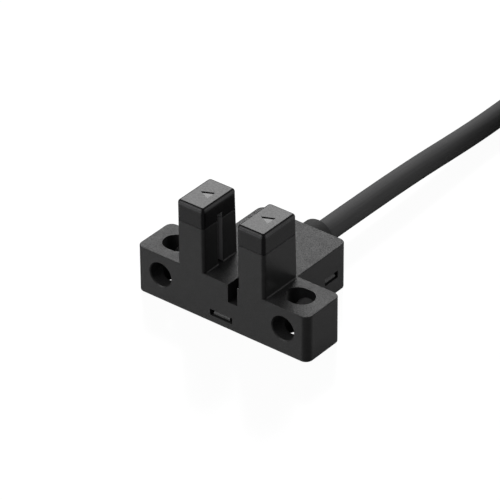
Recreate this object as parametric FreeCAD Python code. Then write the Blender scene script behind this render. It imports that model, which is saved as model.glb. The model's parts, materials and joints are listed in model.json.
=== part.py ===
import FreeCAD, Part
import math
import os
from FreeCAD import Vector

# Slot photomicrosensor with a cable: a T-shaped black housing whose two arms face each other
# across a slot. Millimetres, Z up. The origin is the middle of the housing's underside, X runs
# across the slot, and the cable leaves the rear wall along +Y.

# Housing outside
overall_width = 26.0
overall_depth = 16.2
base_height = 6.4
ear_depth = 6.5
total_height = 15.4
slot_width = 5.0
arm_width = 4.05
arm_lean = 0.25
cap_height = 2.83
corner_radius = 1.0
arm_edge_radius = 0.45
arm_root_radius = 0.2
cap_edge_radius = 0.4
base_edge_radius = 0.12
cap_seam_gap = 0.06
seam_edge_radius = 0.06

# Housing walls
wall = 1.0
slit_wall = 0.6

# Aperture slit of each arm, from the slot floor up into the cap
slit_width = 0.9
slit_from_front = 3.1
slit_rise_in_cap = 0.9

# Notch in the front edge of the slot floor, beside the right arm
notch_width = 1.43
notch_depth = 2.3
notch_floor = 3.9
notch_wall = 0.6

# Fixing holes of the ears: round front to back, slotted along X top to bottom
hole_spacing = 18.6
round_hole_diameter = 3.2
round_hole_height = 3.56
slotted_hole_width = 3.36
slotted_hole_length = 3.9
slotted_hole_from_front = 3.37
hole_chamfer = 0.12

# Marks engraved in the cap tops
mark_length = 1.62
mark_width = 1.5
mark_depth = 0.12
mark_from_front = 3.18
mark_from_middle = 0.1

# Snap windows
front_window_width = 3.4
front_window_bottom = 0.95
front_window_top = 1.85
side_window_length = 2.55
side_window_from_rear = 1.85
side_window_bottom = 2.12
side_window_top = 3.12

# Bottom cover and its hooks
cover_thickness = 0.9
cover_gap = 0.05
hook_thickness = 0.75
hook_recess = 0.16
hook_end_gap = 0.5
side_hook_end_gap = 0.3
hook_catch_gap = 0.24
hook_top_gap = 0.1
side_hook_top_gap = 0.26
hook_ramp = 0.35
post_diameter = 1.1
post_inset = 0.8
front_post_reach = 1.95

# Circuit board, on the cover's posts just above the front hook
board_thickness = 0.8
board_gap = 0.2
hook_board_gap = 0.05
wire_room = 3.15
lead_hole_diameter = 0.75

# Window leg of each cap
leg_thickness = 0.45
leg_gap = 0.05
leg_below_slot_floor = 0.6
leg_rail_thickness = 0.3
leg_rail_height = 3.4
cap_roof = 1.2

# Emitter and receiver, whose capsules fill the arms' cavities but for these gaps
optical_axis_below_top = 3.2
capsule_side_gap = 0.25
capsule_back_gap = 0.145
capsule_top_gap = 0.2
lens_radius = 0.9
lens_height = 0.35
lens_gap = 0.1
lead_pitch = 1.27
lead_width = 0.45
lead_thickness = 0.25
lead_below_board = 0.45
solder_cone_radius = 0.55
solder_cone_height = 0.32

# Parts on the board: length along X, width along Y, height
chip_size = (3.0, 3.0, 1.1)
transistor_size = (2.9, 1.4, 1.0)
resistor_size = (1.6, 0.8, 0.45)
capacitor_size = (1.6, 0.8, 0.85)
lamp_size = (1.6, 0.8, 0.6)
chip_leg_lift = 0.1
terminal_lift = 0.05
terminal_length = 0.3
leg_spread = 0.95
leg_wire_width = 0.3
leg_wire_thickness = 0.15
leg_wire_reach = 0.55

# Where they sit: X, and the share of the free length between the leads and the wires' joints
chip_place = (-1.2, 0.174)
transistor_place = (3.1, 0.607)
emitter_resistor_place = (1.35, -0.03)
pull_up_resistor_place = (3.35, -0.03)
lamp_share = 0.153
capacitor_share = 0.463
indicator_resistor_share = 0.731
side_part_inset = 1.05

# Cable and strain relief
cable_diameter = 3.0
cable_below_cavity_middle = 0.15
cable_length = 950.0
cable_run = 16.0
collar_lip = 0.42
collar_length = 3.0
collar_edge_radius = 0.3
neck_clearance = 0.25
neck_gap = 0.05
flange_width = 6.0
flange_thickness = 1.0
flange_gap = 0.05

# Wires
wire_diameter = 0.9
wire_spread = 1.55
wire_offset = 0.55
wire_board_gap = 0.06
wire_solder_length = 1.1
wire_solder_width = 1.0
wire_solder_height = 0.95
stripped_length = 25.0
wire_end_trims = (0.0, 1.6, 0.8, 2.4)
tip_diameter = 0.6
tip_length = 4.5

# Coil of the cable behind the sensor, and its ties
coil_columns = 3
coil_turn_gap = 0.02
coil_mid_diameter = 33.0
coil_column_turns = 2.8
coil_distance = 53.8
coil_seam_gap = 0.02
tie_width = 2.6
tie_thickness = 0.5
tie_gap = 0.15
tie_angles = (90.0, -20.0)
tie_head_size = (4.4, 4.6, 2.3)
tie_head_edge_radius = 0.4
tie_slot_gap = 0.3
tie_slot_depth = 0.6
tie_tail_stub = 0.35

# Worked out from the values above
front_y = -overall_depth / 2
rear_y = overall_depth / 2
ear_rear_y = front_y + ear_depth
slot_half = slot_width / 2
arm_outer = slot_half + arm_width
seam_z = total_height - cap_height
optical_axis_height = total_height - optical_axis_below_top
cavity_half = arm_outer - wall
cavity_front_y = front_y + wall
cavity_rear_y = rear_y - wall
cavity_top_z = base_height - wall
arm_cavity_inner = slot_half + slit_wall
arm_cavity_rear_y = ear_rear_y - arm_lean - wall
slit_y = front_y + slit_from_front
cable_height = (cover_thickness + cavity_top_z) / 2 - cable_below_cavity_middle
neck_diameter = cavity_top_z - cover_thickness - 2 * neck_clearance
collar_diameter = neck_diameter + 2 * collar_lip
flange_front_y = cavity_rear_y - flange_gap - flange_thickness
collar_end_y = rear_y + collar_length
board_underside = front_window_top - hook_top_gap + hook_board_gap
board_top = board_underside + board_thickness
board_front_y = cavity_front_y + board_gap
board_rear_y = flange_front_y - wire_room
board_half = cavity_half - board_gap
left_part_x = side_part_inset - board_half
lead_rear_y = slit_y + (lead_pitch + lead_width) / 2
joints_front_y = board_rear_y - 2 * wire_solder_length
leg_inner = arm_cavity_inner + leg_gap
leg_outer = leg_inner + leg_thickness
leg_front_y = cavity_front_y + leg_gap
leg_rear_y = arm_cavity_rear_y - leg_gap
room_by_slit = min(slit_y - leg_front_y, leg_rear_y - slit_y) - leg_rail_thickness
capsule_half = room_by_slit - capsule_side_gap
capsule_inner = leg_outer + lens_gap + lens_height
capsule_outer = cavity_half - capsule_back_gap
capsule_top = total_height - cap_roof - capsule_top_gap
capsule_bottom = 2 * optical_axis_height - capsule_top
cable_radius = cable_diameter / 2
wire_radius = wire_diameter / 2
coil_turn_rise = cable_diameter + coil_turn_gap


def box_between(low, high):
    size = Vector(*high) - Vector(*low)
    return Part.makeBox(size.x, size.y, size.z, Vector(*low))


def rod_between(start, end, radius):
    run = Vector(*end) - Vector(*start)
    return Part.makeCylinder(radius, run.Length, Vector(*start), run)


def prism(points, direction):
    outline = Part.makePolygon([Vector(*point) for point in points + points[:1]])
    return Part.Face(outline).extrude(Vector(*direction))


def mirrored(shape):
    return shape.mirror(Vector(0, 0, 0), Vector(1, 0, 0))


def join(first, *others):
    return first.fuse(list(others)).removeSplitter()


def upright_edges(shape, places):
    # Vertical edges that pass through any of the given X, Y places
    found = []
    for edge in shape.Edges:
        start, end = edge.firstVertex().Point, edge.lastVertex().Point
        if abs(start.z - end.z) < 1e-6:
            continue
        for x, y in places:
            if abs(start.x - x) < 1e-4 and min(abs(start.y - y), abs(end.y - y)) < 1e-4:
                found.append(edge)
    return found


def level_edges(shape, height):
    boxes = [(edge, edge.BoundBox) for edge in shape.Edges]
    return [edge for edge, box in boxes if max(abs(box.ZMin - height), abs(box.ZMax - height)) < 1e-6]


def rounded_box(low, high, radius):
    # A box with its four vertical edges rounded
    box = box_between(low, high)
    corners = [(x, y) for x in (low[0], high[0]) for y in (low[1], high[1])]
    return box.makeFillet(radius, upright_edges(box, corners))


# Housing


def base_block():
    half = overall_width / 2
    outline = [
        (-half, front_y, 0),
        (half, front_y, 0),
        (half, ear_rear_y, 0),
        (arm_outer, ear_rear_y, 0),
        (arm_outer, rear_y, 0),
        (-arm_outer, rear_y, 0),
        (-arm_outer, ear_rear_y, 0),
        (-half, ear_rear_y, 0),
    ]
    block = prism(outline, (0, 0, base_height))
    corners = [(side * half, y) for side in (-1, 1) for y in (front_y, ear_rear_y)]
    corners += [(side * arm_outer, rear_y) for side in (-1, 1)]
    block = block.makeFillet(corner_radius, upright_edges(block, corners))
    return block.makeFillet(base_edge_radius, level_edges(block, 0) + level_edges(block, base_height))


def arm_block():
    # The right arm up to the top of its cap, with its rear face leaning forward. It starts just
    # inside the base, so that its front is flush with the base below the base's rounded edge.
    foot_z = base_height - base_edge_radius
    outline = [
        (slot_half, front_y, foot_z),
        (slot_half, ear_rear_y, foot_z),
        (slot_half, ear_rear_y - arm_lean, total_height),
        (slot_half, front_y, total_height),
    ]
    block = prism(outline, (arm_width, 0, 0))
    corners = [(x, y) for x in (slot_half, arm_outer) for y in (front_y, ear_rear_y)]
    return block.makeFillet(arm_edge_radius, upright_edges(block, corners))


def cap_slice(low_z, high_z):
    big = overall_width
    return box_between((-big, -big, low_z), (big, big, high_z))


def arm_cavity(gap=0.0):
    low = (arm_cavity_inner + gap, cavity_front_y + gap, board_top)
    high = (cavity_half - gap, arm_cavity_rear_y - gap, total_height)
    return box_between(low, high)


def slit_cutter():
    low = (slot_half - slit_wall, slit_y - slit_width / 2, base_height)
    high = (slot_half + slit_wall, slit_y + slit_width / 2, seam_z + slit_rise_in_cap)
    return box_between(low, high)


def round_hole(x):
    radius = round_hole_diameter / 2
    hole = rod_between((x, front_y, round_hole_height), (x, ear_rear_y, round_hole_height), radius)
    mouths = []
    for mouth_y, inward in ((front_y, 1), (ear_rear_y, -1)):
        mouths.append(
            Part.makeCone(
                radius + hole_chamfer,
                radius,
                hole_chamfer,
                Vector(x, mouth_y, round_hole_height),
                Vector(0, inward, 0),
            )
        )
    return hole.fuse(mouths)


def obround(x, y, low_z, high_z, length, width):
    left = x - (length - width) / 2
    right = x + (length - width) / 2
    ends = [rod_between((end, y, low_z), (end, y, high_z), width / 2) for end in (left, right)]
    middle = box_between((left, y - width / 2, low_z), (right, y + width / 2, high_z))
    return middle.fuse(ends)


def slotted_hole(x):
    y = front_y + slotted_hole_from_front
    return obround(x, y, 0, base_height, slotted_hole_length, slotted_hole_width)


def front_window():
    half = front_window_width / 2
    return box_between((-half, front_y, front_window_bottom), (half, cavity_front_y, front_window_top))


def side_window_span():
    rear = rear_y - side_window_from_rear
    return rear - side_window_length, rear


def side_window():
    start, end = side_window_span()
    return box_between((cavity_half, start, side_window_bottom), (arm_outer, end, side_window_top))


def notch_block(grow):
    low = (slot_half - notch_width - grow, front_y, notch_floor - grow)
    high = (slot_half + grow, front_y + notch_depth + grow, base_height)
    return box_between(low, high)


def neck_opening(radius):
    # Slot in the rear wall, open at the bottom, that the strain relief drops into
    hole = rod_between((0, cavity_rear_y, cable_height), (0, rear_y, cable_height), radius)
    return hole.fuse(box_between((-radius, cavity_rear_y, 0), (radius, rear_y, cable_height)))


def front_post_places():
    return [(side * front_post_reach, board_front_y + post_inset) for side in (-1, 1)]


def rear_post_places():
    return [(side * (board_half - post_inset), board_rear_y - post_inset) for side in (-1, 1)]


def arm_root(x, outward):
    # Concave rounding along one side of an arm's foot
    r = arm_root_radius
    start_y = front_y + arm_edge_radius
    end_y = ear_rear_y - arm_edge_radius
    strip = box_between(
        (min(x, x + outward * r), start_y, base_height), (max(x, x + outward * r), end_y, base_height + r)
    )
    center = (x + outward * r, start_y, base_height + r)
    return strip.cut(rod_between(center, (center[0], end_y, center[2]), r))


def make_housing():
    arm = arm_block().common(cap_slice(0, seam_z))
    arm = arm.makeFillet(seam_edge_radius, level_edges(arm, seam_z))
    arm = join(arm, arm_root(slot_half, -1), arm_root(arm_outer, 1))
    outer = join(base_block(), arm, mirrored(arm))
    cavity = box_between((-cavity_half, cavity_front_y, 0), (cavity_half, cavity_rear_y, cavity_top_z))
    body = outer.cut([cavity, arm_cavity(), mirrored(arm_cavity())])
    notch_shell = notch_block(notch_wall).common(
        box_between((-cavity_half, front_y, board_top), (arm_cavity_inner, rear_y, base_height))
    )
    posts = [rod_between((x, y, board_top), (x, y, base_height - wall / 2), post_diameter / 2)
             for x, y in rear_post_places()]
    body = join(body, notch_shell, *posts)
    x = hole_spacing / 2
    cutters = [front_window(), notch_block(0), neck_opening(neck_diameter / 2 + neck_gap)]
    for cutter in (side_window(), slit_cutter(), round_hole(x), slotted_hole(x)):
        cutters += [cutter, mirrored(cutter)]
    return body.cut(cutters).removeSplitter()


# Caps


def mark_cutter():
    # Shallow triangle that points towards -X
    y = front_y + mark_from_front
    x = slot_half + arm_width / 2 - mark_from_middle
    top = total_height
    points = [
        (x - mark_length / 2, y, top - mark_depth),
        (x + mark_length / 2, y - mark_width / 2, top - mark_depth),
        (x + mark_length / 2, y + mark_width / 2, top - mark_depth),
    ]
    return prism(points, (0, 0, mark_depth))


def make_cap():
    crown = arm_block().common(cap_slice(seam_z + cap_seam_gap, total_height))
    crown = crown.makeFillet(cap_edge_radius, level_edges(crown, total_height))
    crown = crown.makeFillet(seam_edge_radius, level_edges(crown, seam_z + cap_seam_gap))
    pocket = box_between(
        (leg_outer, cavity_front_y, seam_z), (cavity_half, arm_cavity_rear_y, total_height - cap_roof)
    )
    crown = crown.cut(pocket)
    leg_top = seam_z + cap_seam_gap
    leg_bottom = base_height - leg_below_slot_floor
    leg = box_between((leg_inner, leg_front_y, leg_bottom), (leg_outer, leg_rear_y, leg_top))
    rail_bottom = seam_z - leg_rail_height
    rail_outer = cavity_half - leg_gap
    rails = [
        box_between((leg_inner, low, rail_bottom), (rail_outer, low + leg_rail_thickness, leg_top))
        for low in (leg_front_y, leg_rear_y - leg_rail_thickness)
    ]
    cap = join(crown, leg, *rails)
    return cap.cut(slit_cutter().common(cap_slice(seam_z, total_height)))


def make_right_cap():
    return make_cap().cut(mark_cutter())


def make_left_cap():
    shift = Vector(-2 * slot_half - arm_width, 0, 0)
    mark = mark_cutter()
    mark.translate(shift)
    return mirrored(make_cap()).cut(mark)


# Bottom cover


def front_hook():
    half = front_window_width / 2 - hook_end_gap
    nose_y = front_y + hook_recess
    arm_y = cavity_front_y + cover_gap
    catch_z = front_window_bottom + hook_catch_gap
    top_z = front_window_top - hook_top_gap
    profile = [
        (-half, arm_y, 0),
        (-half, arm_y, catch_z),
        (-half, nose_y, catch_z),
        (-half, nose_y, top_z - hook_ramp),
        (-half, nose_y + hook_ramp, top_z),
        (-half, arm_y + hook_thickness, top_z),
        (-half, arm_y + hook_thickness, 0),
    ]
    return prism(profile, (2 * half, 0, 0))


def side_hook():
    start, end = side_window_span()
    start += side_hook_end_gap
    end -= side_hook_end_gap
    nose_x = arm_outer - hook_recess
    arm_x = cavity_half - cover_gap
    catch_z = side_window_bottom + hook_catch_gap
    top_z = side_window_top - side_hook_top_gap
    profile = [
        (arm_x, start, 0),
        (arm_x, start, catch_z),
        (nose_x, start, catch_z),
        (nose_x, start, top_z - hook_ramp),
        (nose_x - hook_ramp, start, top_z),
        (arm_x - hook_thickness, start, top_z),
        (arm_x - hook_thickness, start, 0),
    ]
    return prism(profile, (0, end - start, 0))


def make_cover():
    plate = box_between(
        (-cavity_half + cover_gap, cavity_front_y + cover_gap, 0),
        (cavity_half - cover_gap, cavity_rear_y - cover_gap, cover_thickness),
    )
    half = neck_diameter / 2
    plate_rear_y = cavity_rear_y - cover_gap
    tongue = box_between((-half, plate_rear_y - wall, 0), (half, rear_y, cable_height))
    saddle = rod_between((0, plate_rear_y - wall, cable_height), (0, rear_y, cable_height), half + neck_gap)
    slab = box_between((-half, plate_rear_y - wall, cover_thickness), (half, cavity_rear_y, cable_height))
    tongue = tongue.cut([saddle, slab])
    posts = [rod_between((x, y, 0), (x, y, board_underside), post_diameter / 2)
             for x, y in front_post_places() + rear_post_places()]
    return join(plate, tongue, front_hook(), side_hook(), mirrored(side_hook()), *posts)


# Board and the parts on it


def lead_places(side):
    x = side * (capsule_inner + capsule_outer) / 2
    return [(x, slit_y + end * lead_pitch / 2) for end in (-1, 1)]


def all_lead_places():
    return lead_places(-1) + lead_places(1)


def make_board():
    low = (-board_half, board_front_y, board_underside)
    high = (board_half, board_rear_y, board_top)
    holes = [
        rod_between((x, y, board_underside), (x, y, board_top), lead_hole_diameter / 2)
        for x, y in all_lead_places()
    ]
    return box_between(low, high).cut(holes)


def make_capsule(side):
    # Side-looking package with a domed lens towards the slot
    low_y = slit_y - capsule_half
    high_y = slit_y + capsule_half
    body = box_between((capsule_inner, low_y, capsule_bottom), (capsule_outer, high_y, capsule_top))
    dome_radius = (lens_radius**2 + lens_height**2) / (2 * lens_height)
    lens_x = capsule_inner - lens_height
    dome = Part.makeSphere(dome_radius, Vector(lens_x + dome_radius, slit_y, optical_axis_height))
    reach = box_between((lens_x, low_y, capsule_bottom), (capsule_inner, high_y, capsule_top))
    capsule = body.fuse(dome.common(reach)).removeSplitter()
    return capsule if side > 0 else mirrored(capsule)


def lead(x, y):
    return box_between(
        (x - lead_thickness / 2, y - lead_width / 2, board_underside - lead_below_board),
        (x + lead_thickness / 2, y + lead_width / 2, capsule_bottom),
    )


def make_leads(side):
    return Part.makeCompound([lead(x, y) for x, y in lead_places(side)])


def make_lead_joints():
    joints = []
    for x, y in all_lead_places():
        cone = Part.makeCone(
            solder_cone_radius,
            solder_cone_radius / 2,
            solder_cone_height,
            Vector(x, y, board_underside),
            Vector(0, 0, -1),
        )
        joints.append(cone.cut(lead(x, y)))
    return Part.makeCompound(joints)


def on_board(x, share):
    return x, lead_rear_y + share * (joints_front_y - lead_rear_y)


def body_on_board(size, place, lift):
    length, width, height = size
    x, y = place
    low = (x - length / 2, y - width / 2, board_top + lift)
    high = (x + length / 2, y + width / 2, board_top + height)
    return box_between(low, high)


def two_terminal_chip(size, place):
    # A small block that stands a little off the board on its two end terminals
    length, width, height = size
    terminal = (terminal_length, width, height)
    reach = (length - terminal_length) / 2
    ends = [body_on_board(terminal, (place[0] + side * reach, place[1]), 0) for side in (-1, 1)]
    return join(body_on_board(size, place, terminal_lift), *ends)


def left_part(size, share):
    return two_terminal_chip(size, on_board(left_part_x, share))


def gull_leg(x, y, outward, top_z):
    # One formed leg: out of the body, down, and flat on the board
    t = leg_wire_thickness
    foot_y = y + outward * leg_wire_reach
    profile = [
        (x, y, top_z),
        (x, y + outward * leg_wire_reach * 0.6, top_z),
        (x, y + outward * leg_wire_reach * 0.6, board_top + t),
        (x, foot_y, board_top + t),
        (x, foot_y, board_top),
        (x, y + outward * (leg_wire_reach * 0.6 - t), board_top),
        (x, y + outward * (leg_wire_reach * 0.6 - t), top_z - t),
        (x, y, top_z - t),
    ]
    leg = prism(profile, (leg_wire_width, 0, 0))
    leg.translate(Vector(-leg_wire_width / 2, 0, 0))
    return leg


def legged_chip(size, place, front_legs, rear_legs):
    length, width, height = size
    x, y = place
    leg_z = board_top + height / 2
    legs = [gull_leg(x + step, y - width / 2, -1, leg_z) for step in front_legs]
    legs += [gull_leg(x + step, y + width / 2, 1, leg_z) for step in rear_legs]
    return join(body_on_board(size, place, chip_leg_lift), *legs)


# Strain relief, cable and wires


def make_strain_relief():
    collar = rod_between((0, rear_y, cable_height), (0, collar_end_y, cable_height), collar_diameter / 2)
    rim = [edge for edge in collar.Edges if edge.BoundBox.YMin > collar_end_y - 1e-6]
    collar = collar.makeFillet(collar_edge_radius, rim)
    neck = rod_between((0, flange_front_y, cable_height), (0, rear_y, cable_height), neck_diameter / 2)
    flange = box_between(
        (-flange_width / 2, flange_front_y, cover_thickness + flange_gap),
        (flange_width / 2, flange_front_y + flange_thickness, cavity_top_z - flange_gap),
    )
    return join(collar, neck, flange)


def rounded_route(points):
    # Straight runs joined by the largest tangent arcs that the runs leave room for
    points = [Vector(*point) for point in points]
    edges = []
    radii = []
    start = points[0]
    for before, corner, after in zip(points, points[1:], points[2:]):
        incoming = (corner - before).normalize()
        outgoing = (after - corner).normalize()
        turn = incoming.getAngle(outgoing)
        cut = 0.45 * min((corner - before).Length, (after - corner).Length)
        radius = cut / math.tan(turn / 2)
        arc_start = corner - incoming * cut
        arc_end = corner + outgoing * cut
        inward = (outgoing - incoming).normalize()
        arc_middle = corner + inward * (radius / math.cos(turn / 2) - radius)
        edges.append(Part.makeLine(start, arc_start))
        edges.append(Part.Arc(arc_start, arc_middle, arc_end).toShape())
        radii.append(radius)
        start = arc_end
    edges.append(Part.makeLine(start, points[-1]))
    return Part.Wire(edges), radii


def tube_along(points, radius):
    route, radii = rounded_route(points)
    first_run = Vector(*points[1]) - Vector(*points[0])
    section = Part.Wire(Part.makeCircle(radius, Vector(*points[0]), first_run))
    tube = route.makePipeShell([section], True, False)
    return tube, route.Length, radii


def board_wire_places():
    return [(index - 1.5) * wire_spread for index in range(4)]


def wire_starts():
    # Two below and two above, side by side where they leave the strain relief
    low = cable_height - wire_offset
    high = cable_height + wire_offset
    return [(-wire_offset, low), (-wire_offset, high), (wire_offset, high), (wire_offset, low)]


def make_board_wire(index):
    # The outer wires spread first, and the two upper ones come down between them
    start_x, start_z = wire_starts()[index]
    end_x = board_wire_places()[index]
    end_y = board_rear_y - wire_solder_length
    end_z = board_top + wire_board_gap + wire_radius
    span = flange_front_y - end_y
    leave, arrive = (0.2, 0.72) if index in (0, 3) else (0.45, 0.84)
    points = [
        (start_x, flange_front_y, start_z),
        (start_x, flange_front_y - span * leave, start_z),
        (end_x, flange_front_y - span * arrive, end_z),
        (end_x, end_y, end_z),
    ]
    return tube_along(points, wire_radius)[0]


def make_wire_joints():
    end_y = board_rear_y - wire_solder_length
    mounds = []
    for x in board_wire_places():
        mounds.append(
            rounded_box(
                (x - wire_solder_width / 2, end_y - wire_solder_length, board_top),
                (x + wire_solder_width / 2, end_y, board_top + wire_solder_height),
                wire_solder_width * 0.3,
            )
        )
    return Part.makeCompound(mounds)


def coil_radii():
    mid = coil_mid_diameter / 2
    half = (coil_columns - 1) / 2
    return [mid + (half - column) * cable_diameter for column in range(coil_columns)]


coil_center_x = coil_radii()[0]
coil_center_y = rear_y + coil_distance
coil_outer = coil_radii()[0] + cable_radius
coil_inner = coil_radii()[-1] - cable_radius
coil_rim_radius = cable_radius * 0.9
coil_floor = tie_thickness
coil_top = coil_floor + cable_diameter + coil_turn_rise * coil_column_turns
coil_entry_run = math.sqrt(coil_outer**2 - (coil_radii()[0] - cable_radius) ** 2) + coil_seam_gap


def cable_points():
    # Straight out of the collar, then down to the height of the coil's first turn
    return [
        (0, collar_end_y, cable_height),
        (0, collar_end_y + cable_run, cable_height),
        (0, collar_end_y + 2 * cable_run, coil_floor + cable_radius),
        (0, coil_center_y - coil_entry_run, coil_floor + cable_radius),
    ]


def coil_length():
    route_length = rounded_route(cable_points())[0].Length
    return cable_length - route_length - coil_entry_run


def end_angle():
    # Where the cable's end lies in the innermost column, clockwise from the entry, in degrees
    radii = coil_radii()
    shift = math.radians(60)
    used = sum(2 * math.pi * coil_column_turns * radius for radius in radii[:-1])
    used += sum(shift * (one + two) / 2 for one, two in zip(radii, radii[1:]))
    turns_angle = 360 * coil_column_turns * (len(radii) - 1) + 60 * (len(radii) - 1)
    return turns_angle + math.degrees((coil_length() - used) / radii[-1])


def ring_sector(inner, outer, low_z, high_z, start, sweep):
    # Part of a ring round the coil's centre, from an angle on, clockwise seen from above
    section = Part.makePolygon([
        Vector(-inner, 0, low_z),
        Vector(-outer, 0, low_z),
        Vector(-outer, 0, high_z),
        Vector(-inner, 0, high_z),
        Vector(-inner, 0, low_z),
    ])
    sector = Part.Face(section).revolve(Vector(0, 0, 0), Vector(0, 0, 1), -sweep)
    sector.rotate(Vector(0, 0, 0), Vector(0, 0, 1), -start)
    sector.translate(Vector(coil_center_x, coil_center_y, 0))
    return sector


def wire_end_bed():
    # Top of the turn that the stripped wires rest on, at the middle of their length
    slope = coil_turn_rise / (2 * math.pi * coil_radii()[-1])
    turns_used = (end_angle() - 60 * (coil_columns - 1)) / 360 - coil_column_turns * (coil_columns - 1)
    end_z = coil_floor + cable_radius + coil_turn_rise * turns_used
    return end_z, slope


def make_coil():
    x, y = coil_center_x, coil_center_y
    ring = Part.makeCylinder(coil_outer, coil_top - coil_floor, Vector(x, y, coil_floor))
    ring = ring.cut(Part.makeCylinder(coil_inner, coil_top - coil_floor, Vector(x, y, coil_floor)))
    rims = [edge for edge in ring.Edges if edge.Closed]
    ring = ring.makeFillet(coil_rim_radius, rims)
    entry_z = coil_floor + cable_radius
    entry = rod_between((0, y - coil_entry_run, entry_z), (0, y, entry_z), cable_radius)
    end_z, slope = wire_end_bed()
    sweep = math.degrees((stripped_length + tip_length) / coil_radii()[-1]) + 6
    floor_z = end_z - coil_turn_rise + cable_radius - slope * 2
    pocket = ring_sector(
        coil_inner - 1, coil_inner + cable_diameter, floor_z, coil_top + 1, end_angle() % 360, sweep
    )
    return join(ring, entry).cut(pocket)


def coil_arc(offset, height, start, length, radius, tilt):
    # A round wire bent along the innermost turn, rising with it
    ring_radius = coil_radii()[-1] + offset
    sweep = math.degrees(length / ring_radius)
    section = Part.Face(Part.Wire(Part.makeCircle(radius, Vector(-ring_radius, 0, 0), Vector(0, 1, 0))))
    wire = section.revolve(Vector(0, 0, 0), Vector(0, 0, 1), -sweep)
    wire.rotate(Vector(0, 0, 0), Vector(0, 0, 1), -start)
    middle = math.radians(180 - end_angle() - math.degrees(stripped_length / coil_radii()[-1]) / 2)
    wire.rotate(Vector(0, 0, 0), Vector(math.cos(middle), math.sin(middle), 0), -tilt)
    wire.translate(Vector(coil_center_x, coil_center_y, height))
    return wire


def wire_end_layout(index):
    side = -1 if index in (0, 1) else 1
    level = 0 if index in (0, 3) else 1
    end_z, slope = wire_end_bed()
    low = end_z - coil_turn_rise + cable_radius + wire_radius + coil_seam_gap
    height = low + slope * stripped_length / 2 + level * (wire_diameter + coil_seam_gap)
    offset = side * (wire_radius + coil_seam_gap)
    return offset, height, math.degrees(math.atan(slope))


def make_wire_end(index):
    offset, height, tilt = wire_end_layout(index)
    length = stripped_length - wire_end_trims[index]
    start = end_angle() + 0.3
    return coil_arc(offset, height, start, length, wire_radius, tilt)


def make_tips():
    tips = []
    for index in range(4):
        offset, height, tilt = wire_end_layout(index)
        length = stripped_length - wire_end_trims[index]
        start = end_angle() + 0.3 + math.degrees(length / (coil_radii()[-1] + offset))
        tips.append(coil_arc(offset, height, start, tip_length, tip_diameter / 2, tilt))
    return Part.makeCompound(tips)


def band_block(grow):
    # The section that a tie encloses, grown by the band's thickness or not
    low = (coil_inner - tie_gap - grow, -tie_width / 2, coil_floor - grow)
    high = (coil_outer + tie_gap + grow, tie_width / 2, coil_top + tie_gap + grow)
    block = box_between(low, high)
    corners = [edge for edge in block.Edges if edge.BoundBox.YLength > tie_width / 2]
    return block.makeFillet(coil_rim_radius + grow, corners)


def tie_head(x, z):
    # Locking head with its slot, and the cut end of the band standing in the slot
    length, width, height = tie_head_size
    head = box_between((x - length / 2, -width / 2, z), (x + length / 2, width / 2, z + height))
    rounded = [edge for edge in head.Edges if edge.BoundBox.ZMax > z + 1e-6]
    head = head.makeFillet(tie_head_edge_radius, rounded)
    reach_x = tie_thickness / 2
    reach_y = tie_width / 2
    slot = box_between(
        (x - reach_x - tie_slot_gap, -reach_y - tie_slot_gap, z + height - tie_slot_depth),
        (x + reach_x + tie_slot_gap, reach_y + tie_slot_gap, z + height),
    )
    tail = box_between((x - reach_x, -reach_y, z), (x + reach_x, reach_y, z + height + tie_tail_stub))
    return head.cut(slot).fuse(tail)


def make_tie(angle):
    # A nylon tie: the band follows the coil's section, and its head sits on top
    band = band_block(tie_thickness).cut(band_block(0))
    head = tie_head((coil_inner + coil_outer) / 2, coil_top + tie_gap)
    tie = join(band, head)
    tie.rotate(Vector(0, 0, 0), Vector(0, 0, 1), angle)
    tie.translate(Vector(coil_center_x, coil_center_y, 0))
    return tie


def make_parts():
    two_legs = (-leg_spread, leg_spread)
    three_legs = (-leg_spread, 0, leg_spread)
    parts = {
        "housing": make_housing(),
        "left_window_cap": make_left_cap(),
        "right_window_cap": make_right_cap(),
        "bottom_cover": make_cover(),
        "circuit_board": make_board(),
        "infrared_emitter": make_capsule(1),
        "emitter_leads": make_leads(1),
        "light_receiver": make_capsule(-1),
        "receiver_leads": make_leads(-1),
        "lead_solder_joints": make_lead_joints(),
        "control_chip": legged_chip(chip_size, on_board(*chip_place), two_legs, three_legs),
        "output_transistor": legged_chip(transistor_size, on_board(*transistor_place), two_legs, (0,)),
        "emitter_resistor": two_terminal_chip(resistor_size, on_board(*emitter_resistor_place)),
        "pull_up_resistor": two_terminal_chip(resistor_size, on_board(*pull_up_resistor_place)),
        "indicator_resistor": left_part(resistor_size, indicator_resistor_share),
        "supply_capacitor": left_part(capacitor_size, capacitor_share),
        "indicator_lamp": left_part(lamp_size, lamp_share),
        "strain_relief": make_strain_relief(),
        "core_solder_joints": make_wire_joints(),
        "cable_coil": make_coil(),
        "first_coil_tie": make_tie(tie_angles[0]),
        "second_coil_tie": make_tie(tie_angles[1]),
        "tinned_tips": make_tips(),
    }
    for index, colour in enumerate(("brown", "black", "white", "blue")):
        parts[colour + "_core"] = make_board_wire(index)
        parts[colour + "_wire_end"] = make_wire_end(index)
    sheath, length, radii = tube_along(cable_points(), cable_radius)
    parts["cable_sheath"] = sheath
    print("cable route", round(length, 2), "radii", [round(radius, 1) for radius in radii])
    swept = math.pi * cable_radius**2 * length
    print("volume over section times length", round(sheath.Volume / swept, 4))
    print("coil length", round(coil_length(), 1), "end angle", round(end_angle(), 1))
    return parts


def main():
    os.makedirs("parts", exist_ok=True)
    for node, shape in make_parts().items():
        shape.exportStep(f"parts/{node}.step")
        print(node, "valid" if shape.isValid() else "NOT VALID", len(shape.Solids), round(shape.Volume, 3))


main()
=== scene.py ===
import json
import math

import bmesh
import bpy
from mathutils import Matrix, Vector


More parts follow.
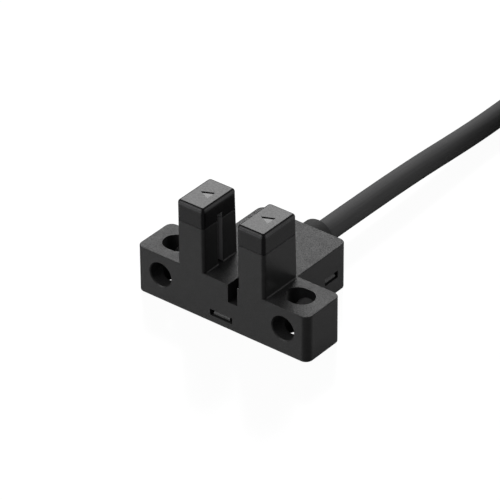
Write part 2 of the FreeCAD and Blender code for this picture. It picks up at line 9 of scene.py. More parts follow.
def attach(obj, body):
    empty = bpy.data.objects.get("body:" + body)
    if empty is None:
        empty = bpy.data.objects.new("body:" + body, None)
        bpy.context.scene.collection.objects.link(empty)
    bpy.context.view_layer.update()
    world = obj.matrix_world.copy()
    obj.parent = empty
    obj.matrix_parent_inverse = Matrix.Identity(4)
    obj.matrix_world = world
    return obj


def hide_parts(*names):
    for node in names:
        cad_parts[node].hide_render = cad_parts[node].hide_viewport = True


# Slot sensor with its cable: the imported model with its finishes, and the cable as a free cord.
# Metres, Z up.

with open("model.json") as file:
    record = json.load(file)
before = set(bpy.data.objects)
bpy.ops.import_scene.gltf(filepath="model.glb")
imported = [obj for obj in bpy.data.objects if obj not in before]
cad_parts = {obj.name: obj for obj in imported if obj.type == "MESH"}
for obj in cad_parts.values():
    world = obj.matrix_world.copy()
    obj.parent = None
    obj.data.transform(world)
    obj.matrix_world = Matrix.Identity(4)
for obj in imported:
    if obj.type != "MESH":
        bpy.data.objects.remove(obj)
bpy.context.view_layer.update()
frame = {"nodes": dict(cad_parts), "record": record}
nodes = frame["nodes"]
print("frame:", len(nodes), "nodes")


def addObject(name, data):
    made = bpy.data.objects.new(name, data)
    bpy.context.scene.collection.objects.link(made)
    return made


# Camera

photoCamera = {
    "place": (0.2356313, -0.2976413, 0.2559081),
    "aim": (0.0009431, -0.0036496, 0.0089459),
    "roll": -0.469,          # degrees, the frame's tilt about the line of sight
    "focalLength": 273.02,   # millimetres, as is the sensor's width
    "sensorWidth": 36,
    "nearest": 0.01,
    "farthest": 10,
}


def makeCamera():
    data = bpy.data.cameras.new("photoCamera")
    data.lens = photoCamera["focalLength"]
    data.sensor_width = photoCamera["sensorWidth"]
    data.clip_start = photoCamera["nearest"]
    data.clip_end = photoCamera["farthest"]
    camera = addObject("photoCamera", data)
    place = Vector(photoCamera["place"])
    forward = (Vector(photoCamera["aim"]) - place).normalized()
    level = forward.cross(Vector((0, 0, 1))).normalized()
    upright = level.cross(forward)
    roll = math.radians(photoCamera["roll"])
    right = level * math.cos(roll) + upright * math.sin(roll)
    up = right.cross(forward)
    turned = Matrix((right, up, -forward)).transposed()
    camera.matrix_world = Matrix.Translation(place) @ turned.to_4x4()
    bpy.context.scene.camera = camera


makeCamera()
print("camera placed")


# Node helpers


def newMaterial(name):
    material = bpy.data.materials.new(name)
    material.use_nodes = True
    tree = material.node_tree
    shader = tree.nodes["Principled BSDF"]
    return material, tree, shader


def addNode(tree, kind, inputs=None, **settings):
    node = tree.nodes.new(kind)
    for name, value in settings.items():
        setattr(node, name, value)
    for name, value in (inputs or {}).items():
        node.inputs[name].default_value = value
    return node


def objectPlace(tree):
    return addNode(tree, "ShaderNodeTexCoord").outputs["Object"]


def noiseOn(tree, place, size, detail=2.0, roughness=0.5):
    values = {"Scale": 1 / size, "Detail": detail, "Roughness": roughness}
    noise = addNode(tree, "ShaderNodeTexNoise", values)
    tree.links.new(place, noise.inputs["Vector"])
    return noise.outputs["Fac"]


def spread(tree, value, low, high, fromLow=0.3, fromHigh=0.7):
    # Carries a noise value from its usual range over to low..high
    values = {"From Min": fromLow, "From Max": fromHigh, "To Min": low, "To Max": high}
    node = addNode(tree, "ShaderNodeMapRange", values)
    tree.links.new(value, node.inputs["Value"])
    return node.outputs["Result"]


def feed(tree, socket, value):
    # A colour comes as three parts, and its socket takes a fourth
    if isinstance(value, bpy.types.NodeSocket):
        tree.links.new(value, socket)
    elif isinstance(value, tuple):
        socket.default_value = (*value, 1)
    else:
        socket.default_value = value


def mixColours(tree, factor, first, second):
    node = addNode(tree, "ShaderNodeMix", data_type="RGBA")
    tree.links.new(factor, node.inputs["Factor"])
    feed(tree, node.inputs["A"], first)
    feed(tree, node.inputs["B"], second)
    return node.outputs["Result"]


def mathNode(tree, operation, *values):
    node = addNode(tree, "ShaderNodeMath", operation=operation)
    for socket, value in zip(node.inputs, values):
        feed(tree, socket, value)
    return node.outputs["Value"]


def splitVector(tree, vector):
    node = addNode(tree, "ShaderNodeSeparateXYZ")
    tree.links.new(vector, node.inputs["Vector"])
    return node.outputs


def bumpFrom(tree, height, depth, before=None):
    node = addNode(tree, "ShaderNodeBump", {"Strength": 1.0, "Distance": depth})
    tree.links.new(height, node.inputs["Height"])
    if before is not None:
        tree.links.new(before, node.inputs["Normal"])
    return node.outputs["Normal"]


wearLook = {
    "samples": 4,
    "edge": (0.8, 0.995),      # agreement of rounded and true normal, from worn to whole
    "patchDetail": 3,
    "leastWear": 0.25,
}


def edgeWear(tree, width, place, patchSize):
    # 1 on worn edges, 0 on faces: where the rounded normal leaves the true one, in patches
    rounded = addNode(tree, "ShaderNodeBevel", {"Radius": width}, samples=wearLook["samples"])
    true = addNode(tree, "ShaderNodeNewGeometry")
    dot = addNode(tree, "ShaderNodeVectorMath", operation="DOT_PRODUCT")
    tree.links.new(rounded.outputs["Normal"], dot.inputs[0])
    tree.links.new(true.outputs["True Normal"], dot.inputs[1])
    edge = spread(tree, dot.outputs["Value"], 1, 0, *wearLook["edge"])
    noise = noiseOn(tree, place, patchSize, wearLook["patchDetail"])
    return mathNode(tree, "MULTIPLY", edge, spread(tree, noise, wearLook["leastWear"], 1))


def acrossPull(tree, least):
    # 1 on faces across the mould's pull, down to the least on walls along it, which it smooths
    surface = addNode(tree, "ShaderNodeNewGeometry")
    normal = splitVector(tree, surface.outputs["True Normal"])
    return spread(tree, mathNode(tree, "ABSOLUTE", normal["Z"]), least, 1, 0, 1)


# Painted highlight: where a pale band is painted below the tops' rounded edges, in place of the
# light that they catch
rimLook = {
    "samples": 8,
    "near": (0.02, 0.14),      # upward lean of the rounded normal, from no rim to full
    "top": (0.50, 0.72),       # upward lean of the surface, from wall to top
    "corner": (0.20, 0.45),    # smaller of the two level parts, from straight wall to corner
}


def rimBelowTop(tree, width):
    # Mask of the painted highlight: 1 on walls just below a top's rounded edge, 0 on the top, on
    # upright corners and further down
    rounded = addNode(tree, "ShaderNodeBevel", {"Radius": width}, samples=rimLook["samples"])
    near = spread(tree, splitVector(tree, rounded.outputs["Normal"])["Z"], 0, 1, *rimLook["near"])
    surface = addNode(tree, "ShaderNodeNewGeometry")
    normal = splitVector(tree, surface.outputs["Normal"])
    below = spread(tree, normal["Z"], 1, 0, *rimLook["top"])
    across, along = (mathNode(tree, "ABSOLUTE", normal[axis]) for axis in "XY")
    straight = spread(tree, mathNode(tree, "MINIMUM", across, along), 1, 0, *rimLook["corner"])
    return mathNode(tree, "MULTIPLY", near, mathNode(tree, "MULTIPLY", below, straight))


def insideBoth(tree, place, middle, reach):
    # 1 inside a box and inside its mirror image across the slot, 0 elsewhere
    parts = splitVector(tree, place)
    found = None
    for axis, centre, half in zip("XYZ", middle, reach):
        value = parts[axis]
        if axis == "X":
            value = mathNode(tree, "ABSOLUTE", value)
        within = mathNode(tree, "COMPARE", value, centre, half)
        found = within if found is None else mathNode(tree, "MULTIPLY", found, within)
    return found


# Finishes

# The slits' walls, painted pale to stand in for the light that reaches into them, and the pointers'
# floors are each marked out by a box, mirrored across the slot

slitWalls = {
    "middle": (0.00286, -0.0050, 0.0101),
    "reach": (0.00033, 0.00047, 0.0036),
    # painted light: a pale grey in place of the light that reaches the slits' dark walls
    "colour": (0.340, 0.340, 0.348),
}

markFloors = {
    "middle": (0.00452, -0.00492, 0.015285),
    "reach": (0.00092, 0.00080, 0.00003),
    "colour": (0.030, 0.030, 0.031),
    "addedSpecular": 0.22,
}

housingFinish = {
    "colour": (0.0230, 0.0230, 0.0235),
    "paleColour": (0.0310, 0.0310, 0.0315),
    "wornColour": (0.060, 0.060, 0.061),
    "roughness": (0.42, 0.49),
    "specular": 0.385,
    "sparkle": 0.75,           # how far the grain changes the shine
    "grainSize": 0.00014,      # spark-eroded grain of the mould
    "grainDepth": 0.000016,
    "wallGrain": 0.25,         # share of the grain left on walls along the mould's pull
    "wallRoughness": 0.76,     # share of the roughness left there
    "mottleSize": 0.0016,
    "wearWidth": 0.00012,
    "slit": slitWalls,
}

mouldLook = {
    "grainDetail": 2,
    "mottleDetail": 4,
    "noiseRoughness": 0.6,
    "wearPatch": 0.6,          # size of the worn patches, as a share of the mottle's
}


def mouldedPlastic(name, finish):
    # The mould's grain, a soft mottle and worn edges, and where stated the slits' walls painted
    # pale as painted light, marks and a painted highlight below the tops' edges
    material, tree, shader = newMaterial(name)
    place = objectPlace(tree)
    rough = mouldLook["noiseRoughness"]
    grain = noiseOn(tree, place, finish["grainSize"], mouldLook["grainDetail"], rough)
    mottle = noiseOn(tree, place, finish["mottleSize"], mouldLook["mottleDetail"], rough)
    body = mixColours(tree, spread(tree, mottle, 0, 1), finish["colour"], finish["paleColour"])
    patchSize = finish["mottleSize"] * mouldLook["wearPatch"]
    wear = edgeWear(tree, finish["wearWidth"], place, patchSize)
    skin = mixColours(tree, wear, body, finish["wornColour"])
    # painted light: the slits' walls take a pale colour in place of the light that reaches into
    # them
    if "slit" in finish:
        slit = insideBoth(tree, place, finish["slit"]["middle"], finish["slit"]["reach"])
        skin = mixColours(tree, slit, skin, finish["slit"]["colour"])
    swing = finish["specular"] * finish["sparkle"]
    share = acrossPull(tree, finish.get("wallGrain", 1))
    glints = mathNode(tree, "MULTIPLY", spread(tree, grain, -swing, swing), share)
    shine = mathNode(tree, "ADD", glints, finish["specular"])
    if "marks" in finish:
        marks = insideBoth(tree, place, finish["marks"]["middle"], finish["marks"]["reach"])
        skin = mixColours(tree, marks, skin, finish["marks"]["colour"])
        added = mathNode(tree, "MULTIPLY", marks, finish["marks"]["addedSpecular"])
        shine = mathNode(tree, "ADD", shine, added)
    # painted highlight: a pale band below the tops' rounded edges, in place of the light they catch
    if "rim" in finish:
        rim = rimBelowTop(tree, finish["rim"]["width"])
        skin = mixColours(tree, rim, skin, finish["rim"]["colour"])
    tree.links.new(shine, shader.inputs["Specular IOR Level"])
    tree.links.new(skin, shader.inputs["Base Color"])
    polish = acrossPull(tree, finish.get("wallRoughness", 1))
    matt = mathNode(tree, "MULTIPLY", spread(tree, mottle, *finish["roughness"]), polish)
    tree.links.new(matt, shader.inputs["Roughness"])
    relief = mathNode(tree, "MULTIPLY", grain, share)
    tree.links.new(bumpFrom(tree, relief, finish["grainDepth"]), shader.inputs["Normal"])
    return material


capFinish = {
    "colour": (0.0055, 0.0050, 0.0058),
    "paleColour": (0.0085, 0.0080, 0.0092),
    "wornColour": (0.030, 0.030, 0.032),
    "roughness": (0.10, 0.15),
    "specular": 0.262,
    "sparkle": 0.32,
    "grainSize": 0.00015,
    "grainDepth": 0.0000030,
    "wallGrain": 0.5,
    "mottleSize": 0.0021,
    "wearWidth": 0.00008,
    "slit": slitWalls,
    "marks": markFloors,
    # painted highlight: the pale band stands in for the light that the rounded edges catch
    "rim": {"width": 0.00062, "colour": (0.098, 0.098, 0.101)},  # pale band below the tops' edges
}

coverFinish = dict(housingFinish, specular=0.50, roughness=(0.30, 0.38))
del coverFinish["slit"]

collarFinish = {
    "colour": (0.044, 0.044, 0.044),
    "paleColour": (0.058, 0.058, 0.058),
    "wornColour": (0.064, 0.064, 0.064),
    "roughness": (0.62, 0.72),
    "specular": 0.35,
    "sparkle": 0.2,
    "grainSize": 0.00018,
    "grainDepth": 0.000009,
    "mottleSize": 0.0014,
    "wearWidth": 0.0001,
}

tieFinish = {
    "colour": (0.014, 0.014, 0.014),
    "paleColour": (0.022, 0.022, 0.022),
    "wornColour": (0.070, 0.070, 0.070),
    "roughness": (0.34, 0.44),
    "specular": 0.5,
    "sparkle": 0.1,
    "grainSize": 0.0004,
    "grainDepth": 0.000006,
    "mottleSize": 0.003,
    "wearWidth": 0.00012,
}

chipFinish = {
    "colour": (0.014, 0.014, 0.015),
    "paleColour": (0.026, 0.026, 0.027),
    "wornColour": (0.05, 0.05, 0.05),
    "roughness": (0.5, 0.62),
    "specular": 0.5,
    "sparkle": 0.2,
    "grainSize": 0.00008,
    "grainDepth": 0.000004,
    "mottleSize": 0.0007,
    "wearWidth": 0.00004,
}

capacitorFinish = dict(
    chipFinish,
    colour=(0.36, 0.25, 0.14),
    paleColour=(0.47, 0.34, 0.20),
    wornColour=(0.5, 0.4, 0.28),
)

lampFinish = dict(
    chipFinish,
    colour=(0.74, 0.73, 0.66),
    paleColour=(0.84, 0.83, 0.78),
    wornColour=(0.88, 0.87, 0.82),
)

cordFinish = {
    "colour": (0.130, 0.130, 0.131),
    "paleColour": (0.160, 0.160, 0.161),
    "dustColour": (0.200, 0.197, 0.192),
    "roughness": (0.56, 0.66),
    "specular": 0.05,
    "streakSize": 0.00035,     # across the cord; much longer along it
    "streakDetail": 4,
    "streakRoughness": 0.55,
    "streakDepth": 0.000010,
    "poreSize": 0.00012,
    "poreDepth": 0.000003,
    "cloudSize": 0.006,
    "cloudDetail": 3,
    "cloudRange": (0.45, 0.75),
    "dustShare": 0.10,
}


def extrudedSheath(name, finish):
    # Fine lengthwise streaks from the extruder, read from the attribute that the tube carries
    material, tree, shader = newMaterial(name)
    along = addNode(tree, "ShaderNodeAttribute", attribute_name="cordPlace").outputs["Vector"]
    place = objectPlace(tree)
    detail, rough = finish["streakDetail"], finish["streakRoughness"]
    streaks = noiseOn(tree, along, finish["streakSize"], detail, rough)
    pores = noiseOn(tree, place, finish["poreSize"])
    clouds = noiseOn(tree, place, finish["cloudSize"], finish["cloudDetail"])
    body = mixColours(tree, spread(tree, streaks, 0, 1), finish["colour"], finish["paleColour"])
    dust = spread(tree, clouds, 0, finish["dustShare"], *finish["cloudRange"])
    tree.links.new(mixColours(tree, dust, body, finish["dustColour"]), shader.inputs["Base Color"])
    tree.links.new(spread(tree, streaks, *finish["roughness"]), shader.inputs["Roughness"])
    shader.inputs["Specular IOR Level"].default_value = finish["specular"]
    first = bumpFrom(tree, streaks, finish["streakDepth"])
    tree.links.new(bumpFrom(tree, pores, finish["poreDepth"], first), shader.inputs["Normal"])
    return material


def paler(colour, factor, lift):
    return tuple(min(1, part * factor + lift) for part in colour)


def deeper(colour, factor):
    return tuple(part * factor for part in colour)


insulationLook = {
    "cloudSize": 0.0011,
    "cloudDetail": 4,
    "cloudRoughness": 0.6,
    "skinSize": 0.00022,
    "skinDepth": 0.000004,
    "deep": 0.78,
    "pale": (1.12, 0.006),
    "roughness": (0.28, 0.40),
}


def wireInsulation(name, colour):
    # Smooth skin with soft clouds of a deeper and a paler tone
    look = insulationLook
    material, tree, shader = newMaterial(name)
    place = objectPlace(tree)
    clouds = noiseOn(tree, place, look["cloudSize"], look["cloudDetail"], look["cloudRoughness"])
    skin = noiseOn(tree, place, look["skinSize"])
    tones = (deeper(colour, look["deep"]), paler(colour, *look["pale"]))
    body = mixColours(tree, spread(tree, clouds, 0, 1), *tones)
    tree.links.new(body, shader.inputs["Base Color"])
    tree.links.new(spread(tree, skin, *look["roughness"]), shader.inputs["Roughness"])
    tree.links.new(bumpFrom(tree, skin, look["skinDepth"]), shader.inputs["Normal"])
    return material


metalLook = {
    "scratchDetail": 5,
    "scratchRoughness": 0.65,
    "scratchDepth": 0.000004,
    "dull": 0.72,
}


def metalFinish(name, colour, roughness, scratchSize=0.0005):
    # Fine scratches that dull the metal in places
    look = metalLook
    material, tree, shader = newMaterial(name)
    place = objectPlace(tree)
    detail, rough = look["scratchDetail"], look["scratchRoughness"]
    scratches = noiseOn(tree, place, scratchSize, detail, rough)
    body = mixColours(tree, spread(tree, scratches, 0, 1), deeper(colour, look["dull"]), colour)
    tree.links.new(body, shader.inputs["Base Color"])
    tree.links.new(spread(tree, scratches, *roughness), shader.inputs["Roughness"])
    tree.links.new(bumpFrom(tree, scratches, look["scratchDepth"]), shader.inputs["Normal"])
    shader.inputs["Metallic"].default_value = 1.0
    return material


boardFinish = {
    "mask": (0.012, 0.075, 0.030),
    "maskOverCopper": (0.022, 0.125, 0.048),
    "glass": (0.03, 0.10, 0.05),
    "glassShare": 0.35,        # how far the weave shows through the mask
    "trackPitch": 0.0011,
    "trackEdge": (0.30, 0.36),
    "weaveSize": 0.0004,
    "weaveHeight": 0.3,        # as a share of the tracks'
    "trackHeight": 0.00002,
    "roughness": (0.25, 0.38),
}


def boardMaterial(name):
    # Solder mask, paler over the copper tracks, with the glass weave showing faintly
    look = boardFinish
    material, tree, shader = newMaterial(name)
    place = objectPlace(tree)
    pitch = {"Scale": 1 / look["trackPitch"]}
    cells = addNode(tree, "ShaderNodeTexVoronoi", pitch, distance="MANHATTAN")
    tree.links.new(place, cells.inputs["Vector"])
    tracks = spread(tree, cells.outputs["Distance"], 1, 0, *look["trackEdge"])
    weave = noiseOn(tree, place, look["weaveSize"])
    mask = mixColours(tree, tracks, look["mask"], look["maskOverCopper"])
    woven = mixColours(tree, spread(tree, weave, 0, look["glassShare"]), mask, look["glass"])
    tree.links.new(woven, shader.inputs["Base Color"])
    tree.links.new(spread(tree, weave, *look["roughness"]), shader.inputs["Roughness"])
    threads = mathNode(tree, "MULTIPLY", weave, look["weaveHeight"])
    height = mathNode(tree, "ADD", tracks, threads)
    tree.links.new(bumpFrom(tree, height, look["trackHeight"]), shader.inputs["Normal"])
    return material


resinLook = {
    "hazeSize": 0.0008,
    "hazeDetail": 3,
    "pale": (1.2, 0.01),
    "roughness": (0.08, 0.16),
    "refraction": 1.54,
}


def resinMaterial(name, colour, clearness):
    # Clear or tinted casting resin with a slight haze
    look = resinLook
    material, tree, shader = newMaterial(name)
    haze = noiseOn(tree, objectPlace(tree), look["hazeSize"], look["hazeDetail"])
    body = mixColours(tree, spread(tree, haze, 0, 1), colour, paler(colour, *look["pale"]))
    tree.links.new(body, shader.inputs["Base Color"])
    tree.links.new(spread(tree, haze, *look["roughness"]), shader.inputs["Roughness"])
    shader.inputs["Transmission Weight"].default_value = clearness
    shader.inputs["IOR"].default_value = look["refraction"]
    return material


# One finish for each of the record's material slots

finishes = {
    "housing_black": mouldedPlastic("sparkErodedBlack", housingFinish),
    "smoky_cap": mouldedPlastic("smokyCapPlastic", capFinish),
    "cover_black": mouldedPlastic("coverBlack", coverFinish),
    "collar_black": mouldedPlastic("collarRubber", collarFinish),
    "tie_black": mouldedPlastic("tieNylon", tieFinish),
    "chip_black": mouldedPlastic("chipCompound", chipFinish),
    "capacitor_tan": mouldedPlastic("capacitorCeramic", capacitorFinish),
    "lamp_white": mouldedPlastic("lampResin", lampFinish),
    "cable_black": extrudedSheath("cableSheathBlack", cordFinish),
    "board_green": boardMaterial("boardMask"),
    "emitter_resin": resinMaterial("emitterResin", (0.70, 0.66, 0.52), 0.6),
    "receiver_resin": resinMaterial("receiverResin", (0.035, 0.020, 0.035), 0.2),
    "tinned_metal": metalFinish("tinnedLeads", (0.74, 0.73, 0.71), (0.28, 0.42)),
    "solder": metalFinish("solderMounds", (0.68, 0.68, 0.68), (0.18, 0.34)),
    "tinned_copper": metalFinish("tinnedStrands", (0.76, 0.73, 0.68), (0.26, 0.42), 0.0002),
    "brown_insulation": wireInsulation("brownInsulation", (0.115, 0.043, 0.020)),
    "black_insulation": wireInsulation("blackInsulation", (0.020, 0.020, 0.020)),
    "white_insulation": wireInsulation("whiteInsulation", (0.78, 0.78, 0.76)),
    "blue_insulation": wireInsulation("blueInsulation", (0.020, 0.105, 0.42)),
}
print("finishes:", len(finishes))


# Mesh helpers


def linkMesh(name, mesh, slotName):
    piece = addObject(name, mesh)
    mesh.materials.clear()
    mesh.materials.append(finishes[slotName])
    return piece


def evaluatedMesh(holder):
    # The finished mesh of an object with modifiers, as a plain copy
    graph = bpy.context.evaluated_depsgraph_get()
    return bpy.data.meshes.new_from_object(holder.evaluated_get(graph), depsgraph=graph)


# Moulded and bought-in pieces keep their nodes' shapes, each with its own finish

for entry in frame["record"]["subparts"]:
    material = finishes[entry["material_slot"]]
    data = nodes[entry["node"]].data
    data.materials.clear()
    data.materials.append(material)
print("node finishes set")


# Cable: out of the collar, down to the height of the first turn, then round the coil

cable = {
    "diameter": 0.003,
    "length": 0.95,
    "exit": (0, 0.0111, 0.0030),
    "routePoints": [
        (0, 0.0111, 0.0030),
        (0, 0.0271, 0.0030),
        (0, 0.0431, 0.0020),
        (0, 0.05108, 0.0020),
    ],
    "resolution": 6,          # steps from one point of the route to the next
    "sides": 22,
}

coil = {
    "centre": (0.0195, 0.0619),
    "radii": (0.0195, 0.0165, 0.0135),
    "columnTurns": 2.8,
    "shift": 60.0,            # degrees over which a turn moves over to the next column
    "rise": 0.00302,          # from one turn to the next in a column
    "lowestTurn": 0.0020,     # height of the first turn's middle
    "entryAngle": 180,        # degrees from the X axis to where the cord comes in
    "endAngle": 3117.6,       # degrees from the entry to the sheath's end
    "step": 15.0,             # degrees between the route's points
}


def coilPlace(travelled):
    # Radius and height of the cord's middle after an angle from the entry
    columnSweep = 360 * coil["columnTurns"]
    wholeColumn = columnSweep + coil["shift"]
    column = min(int(travelled // wholeColumn), len(coil["radii"]) - 1)
    within = travelled - column * wholeColumn
    radius = coil["radii"][column]
    climbed = min(within, columnSweep) / 360 * coil["rise"]
    if within > columnSweep and column + 1 < len(coil["radii"]):
        part = (within - columnSweep) / coil["shift"]
        radius += (coil["radii"][column + 1] - radius) * part
    top = coil["columnTurns"] * coil["rise"]
    height = coil["lowestTurn"] + (climbed if column % 2 == 0 else top - climbed)
    return radius, height


def coilPoint(travelled, outward=0.0, lift=0.0):
    radius, height = coilPlace(travelled)
    angle = math.radians(coil["entryAngle"] - travelled)
    x, y = coil["centre"]
    reach = radius + outward
    return Vector((x + reach * math.cos(angle), y + reach * math.sin(angle), height + lift))


def coilControlPoints():
    # Corners of the polygon round each turn, so that the spline inside it keeps the turn's radius
    corner = 1 / math.cos(math.radians(coil["step"] / 2)) - 1
    points = []
    travelled = coil["step"] / 2
    while travelled < coil["endAngle"]:
        radius, _ = coilPlace(travelled)
        points.append(coilPoint(travelled, radius * corner))
        travelled += coil["step"]
    points.append(coilPoint(coil["endAngle"]))
    return points


def nurbsRoute(name, points, resolution):
    data = bpy.data.curves.new(name, "CURVE")
    data.dimensions = "3D"
    data.resolution_u = resolution
    spline = data.splines.new("NURBS")
    spline.points.add(len(points) - 1)
    for target, point in zip(spline.points, points):
        target.co = (*point, 1)
    spline.order_u = 3
    spline.use_endpoint_u = True
    return addObject(name, data)


def routeLine(route):
    mesh = evaluatedMesh(route)
    line = [vertex.co.copy() for vertex in mesh.vertices]
    bpy.data.meshes.remove(mesh)
    return line


tubeMaking = {
    "alongShare": 0.04,       # how much the attribute shortens lengths, which draws its pattern out
    "sharpAbove": 50,         # degrees between faces
}


def tubeTree(name):
    # A round tube along the object's own curve; its attribute runs round and along the cord
    tree = bpy.data.node_groups.new(name, "GeometryNodeTree")
    tree.interface.new_socket("Geometry", in_out="INPUT", socket_type="NodeSocketGeometry")
    kinds = {"Radius": "NodeSocketFloat", "Sides": "NodeSocketInt", "Finish": "NodeSocketMaterial"}
    for label, kind in kinds.items():
        tree.interface.new_socket(label, in_out="INPUT", socket_type=kind)
    tree.interface.new_socket("Geometry", in_out="OUTPUT", socket_type="NodeSocketGeometry")
    links = tree.links
    start = addNode(tree, "NodeGroupInput")
    end = addNode(tree, "NodeGroupOutput")
    length = addNode(tree, "GeometryNodeSplineParameter")
    keepLength = addNode(tree, "GeometryNodeCaptureAttribute", domain="POINT")
    keepLength.capture_items.new("FLOAT", "along")
    links.new(start.outputs["Geometry"], keepLength.inputs["Geometry"])
    links.new(length.outputs["Length"], keepLength.inputs["along"])
    ring = addNode(tree, "GeometryNodeCurvePrimitiveCircle")
    links.new(start.outputs["Radius"], ring.inputs["Radius"])
    links.new(start.outputs["Sides"], ring.inputs["Resolution"])
    ringPlace = addNode(tree, "GeometryNodeInputPosition")
    keepRing = addNode(tree, "GeometryNodeCaptureAttribute", domain="POINT")
    keepRing.capture_items.new("VECTOR", "around")
    links.new(ring.outputs["Curve"], keepRing.inputs["Geometry"])
    links.new(ringPlace.outputs["Position"], keepRing.inputs["around"])
    sweep = addNode(tree, "GeometryNodeCurveToMesh", {"Fill Caps": True})
    links.new(keepLength.outputs["Geometry"], sweep.inputs["Curve"])
    links.new(keepRing.outputs["Geometry"], sweep.inputs["Profile Curve"])
    around = splitVector(tree, keepRing.outputs["around"])
    shorter = mathNode(tree, "MULTIPLY", keepLength.outputs["along"], tubeMaking["alongShare"])
    together = addNode(tree, "ShaderNodeCombineXYZ")
    links.new(around["X"], together.inputs["X"])
    links.new(around["Y"], together.inputs["Y"])
    links.new(shorter, together.inputs["Z"])
    label = {"Name": "cordPlace"}
    store = addNode(tree, "GeometryNodeStoreNamedAttribute", label, data_type="FLOAT_VECTOR")
    links.new(sweep.outputs["Mesh"], store.inputs["Geometry"])
    links.new(together.outputs["Vector"], store.inputs["Value"])
    smooth = addNode(tree, "GeometryNodeSetShadeSmooth")
    links.new(store.outputs["Geometry"], smooth.inputs["Geometry"])
    realize = addNode(tree, "GeometryNodeRealizeInstances")
    links.new(smooth.outputs["Geometry"], realize.inputs["Geometry"])
    finish = addNode(tree, "GeometryNodeSetMaterial")
    links.new(realize.outputs["Geometry"], finish.inputs["Geometry"])
    links.new(start.outputs["Finish"], finish.inputs["Material"])
    links.new(finish.outputs["Geometry"], end.inputs["Geometry"])
    return tree


roundTube = tubeTree("roundTube")


def setInput(modifier, label, value):
    for item in modifier.node_group.interface.items_tree:
        if item.item_type == "SOCKET" and item.in_out == "INPUT" and item.name == label:
            modifier[item.identifier] = value


def tubeAlong(name, route, radius, sides, slotName):
    modifier = route.modifiers.new("tube", "NODES")
    modifier.node_group = roundTube
    setInput(modifier, "Radius", radius)
    setInput(modifier, "Sides", sides)
    setInput(modifier, "Finish", finishes[slotName])
    mesh = evaluatedMesh(route)
    bpy.data.objects.remove(route)
    mesh.set_sharp_from_angle(angle=math.radians(tubeMaking["sharpAbove"]))
    return linkMesh(name, mesh, slotName)


cablePoints = [Vector(point) for point in cable["routePoints"]] + coilControlPoints()
cableRoute = nurbsRoute("cableRoute", cablePoints, cable["resolution"])
cableLine = routeLine(cableRoute)
cableLength = sum((b - a).length for a, b in zip(cableLine, cableLine[1:]))
sheath = tubeAlong("cableSheath", cableRoute, cable["diameter"] / 2, cable["sides"], "cable_black")
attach(sheath, "root")
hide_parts("cable_sheath", "cable_coil")
print("cable:", round(cableLength, 4), "m,", len(sheath.data.polygons), "faces")


# Stripped wires at the cable's far end, and their bare tinned strands

wireEnds = {
    "diameter": 0.0009,
    "stripped": 0.025,
    "trims": (0.0, 0.0016, 0.0008, 0.0024),  # how much shorter each is cut
    "colours": ("brown", "black", "white", "blue"),
    "places": (                # outward and up from the cord's middle
        (-0.00047, -0.00045),
        (-0.00047, 0.00047),
        (0.00047, 0.00047),
        (0.00047, -0.00045),
    ),
    "drop": 0.0006,            # how far they come down onto the turn below
    "spread": 0.00012,         # how far they part
    "settleRate": 2.5,         # the higher, the sooner they have dropped and parted
    "steps": 12,
    "resolution": 8,
    "sides": 14,
}

strands = {
    "count": 7,
    "diameter": 0.00021,
    "length": 0.0045,          # of the bare tip
    "sunk": 0.0003,            # how far inside the insulation they start
    "twistLength": 0.006,
    "steps": 8,
    "resolution": 4,
    "sides": 8,
}


def alongInnerTurn(distance, outward, lift):
    travelled = coil["endAngle"] + math.degrees(distance / (coil["radii"][-1] + outward))
    return coilPoint(travelled, outward, lift)


def makeWireEnd(index):
    colour = wireEnds["colours"][index]
    outward, lift = wireEnds["places"][index]
    length = wireEnds["stripped"] - wireEnds["trims"][index]
    steps = wireEnds["steps"]
    points = []
    for step in range(steps + 1):
        part = step / steps
        settle = min(1, part * wireEnds["settleRate"])
        settle = settle * settle * (3 - 2 * settle)
        fan = 1 + settle * wireEnds["spread"] / abs(outward)
        height = lift - wireEnds["drop"] * settle
        points.append(alongInnerTurn(length * part, outward * fan, height))
    route = nurbsRoute(colour + "Route", points, wireEnds["resolution"])
    line = routeLine(route)
    radius, sides = wireEnds["diameter"] / 2, wireEnds["sides"]
    piece = tubeAlong(colour + "WireEnd", route, radius, sides, colour + "_insulation")
    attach(piece, "root")
    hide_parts(colour + "_wire_end")
    return piece, line


def strandPoints(line, index):
    # The first strand runs straight on from the wire's line, the others twist round it
    forward = (line[-1] - line[-3]).normalized()
    side = forward.cross(Vector((0, 0, 1))).normalized()
    above = side.cross(forward)
    reach = 0 if index == 0 else strands["diameter"]
    points = []
    for step in range(strands["steps"] + 1):
        distance = strands["length"] * (step / strands["steps"])
        turns = index / (strands["count"] - 1) + distance / strands["twistLength"]
        turn = 2 * math.pi * turns
        offset = side * (reach * math.cos(turn)) + above * (reach * math.sin(turn))
        points.append(line[-1] + forward * (distance - strands["sunk"]) + offset)
    return points


def makeStrands(lines):
    # The strands of all the wires become one piece
    meshes = []
    for line in lines:
        for index in range(strands["count"]):
            route = nurbsRoute("strandRoute", strandPoints(line, index), strands["resolution"])
            radius, sides = strands["diameter"] / 2, strands["sides"]
            piece = tubeAlong("strand", route, radius, sides, "tinned_copper")
            meshes.append(piece.data)
            bpy.data.objects.remove(piece)
    together = bmesh.new()
    for mesh in meshes:
        together.from_mesh(mesh)
    joined = bpy.data.meshes.new("tinnedTips")
    together.to_mesh(joined)
    together.free()
    piece = linkMesh("tinnedTips", joined, "tinned_copper")
    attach(piece, "root")
    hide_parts("tinned_tips")
    return piece


madeEnds = [makeWireEnd(index) for index in range(len(wireEnds["colours"]))]
tinnedTips = makeStrands([line for _, line in madeEnds])
print("wire ends:", len(madeEnds))


# Floor, world and lamps

studio = {
    "floorSize": 3.0,
    "floorDrop": 0.00002,     # how far it lies below the part
    "floorColour": 0.50,
    "floorMirror": 0.50,      # how much of a polished sheet it is
    "floorRoughness": 0.20,
    "cameraGlow": 0.95,       # how much of it the camera sees as plain white
    "glowStrength": 1.02,
    "worldFill": 0.15,        # light from all round; the camera sees the world as white
}

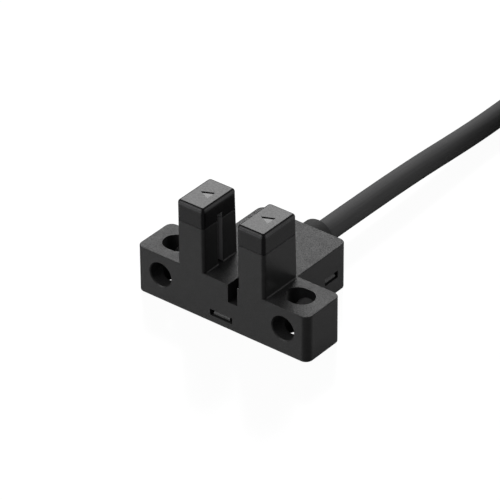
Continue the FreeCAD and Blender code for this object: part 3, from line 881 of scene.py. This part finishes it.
lamps = {
    # direction from the object, distance, size, radiance
    "rearSoftbox": ((-0.523, 0.643, 0.559), 0.60, (0.37, 0.24), 4.45),
    "leftSoftbox": ((-0.497, -0.611, 0.616), 0.60, (0.44, 0.44), 2.15),
    "rightSoftbox": ((0.572, 0.703, 0.423), 0.60, (0.40, 0.43), 0.81),
}


def makeFloor():
    half = studio["floorSize"] / 2
    mesh = bpy.data.meshes.new("paleFloor")
    plan = ((-half, -half), (half, -half), (half, half), (-half, half))
    corners = [(x, y, -studio["floorDrop"]) for x, y in plan]
    mesh.from_pydata(corners, [], [(0, 1, 2, 3)])
    floor = addObject("paleFloor", mesh)
    material, tree, shader = newMaterial("paleFloor")
    shader.inputs["Base Color"].default_value = (*[studio["floorColour"]] * 3, 1)
    shader.inputs["Roughness"].default_value = studio["floorRoughness"]
    shader.inputs["Metallic"].default_value = studio["floorMirror"]
    glow = addNode(tree, "ShaderNodeEmission", {"Strength": studio["glowStrength"]})
    blend = addNode(tree, "ShaderNodeMixShader")
    path = addNode(tree, "ShaderNodeLightPath").outputs
    direct = mathNode(tree, "MULTIPLY", path["Is Camera Ray"], studio["cameraGlow"])
    tree.links.new(direct, blend.inputs["Fac"])
    tree.links.new(shader.outputs["BSDF"], blend.inputs[1])
    tree.links.new(glow.outputs["Emission"], blend.inputs[2])
    tree.links.new(blend.outputs["Shader"], tree.nodes["Material Output"].inputs["Surface"])
    mesh.materials.append(material)


def makeWorld():
    world = bpy.data.worlds.new("studioWorld")
    world.use_nodes = True
    tree = world.node_tree
    background = tree.nodes["Background"]
    background.inputs["Color"].default_value = (1, 1, 1, 1)
    path = addNode(tree, "ShaderNodeLightPath").outputs
    seen = mathNode(tree, "MAXIMUM", path["Is Camera Ray"], path["Is Transmission Ray"])
    level = addNode(tree, "ShaderNodeMapRange", {"To Min": studio["worldFill"], "To Max": 1.0})
    tree.links.new(seen, level.inputs["Value"])
    tree.links.new(level.outputs["Result"], background.inputs["Strength"])
    bpy.context.scene.world = world


def makeLamp(name, direction, distance, size, radiance):
    data = bpy.data.lights.new(name, "AREA")
    data.shape = "RECTANGLE"
    data.size, data.size_y = size
    data.energy = radiance * math.pi * size[0] * size[1]
    lamp = addObject(name, data)
    toward = Vector(direction).normalized()
    lamp.location = toward * distance
    lamp.rotation_mode = "QUATERNION"
    lamp.rotation_quaternion = toward.to_track_quat("Z", "Y")


makeFloor()
makeWorld()
for name, values in lamps.items():
    makeLamp(name, *values)
bpy.context.scene.view_settings.view_transform = "Standard"
print("stage, world and lamps:", len(lamps))
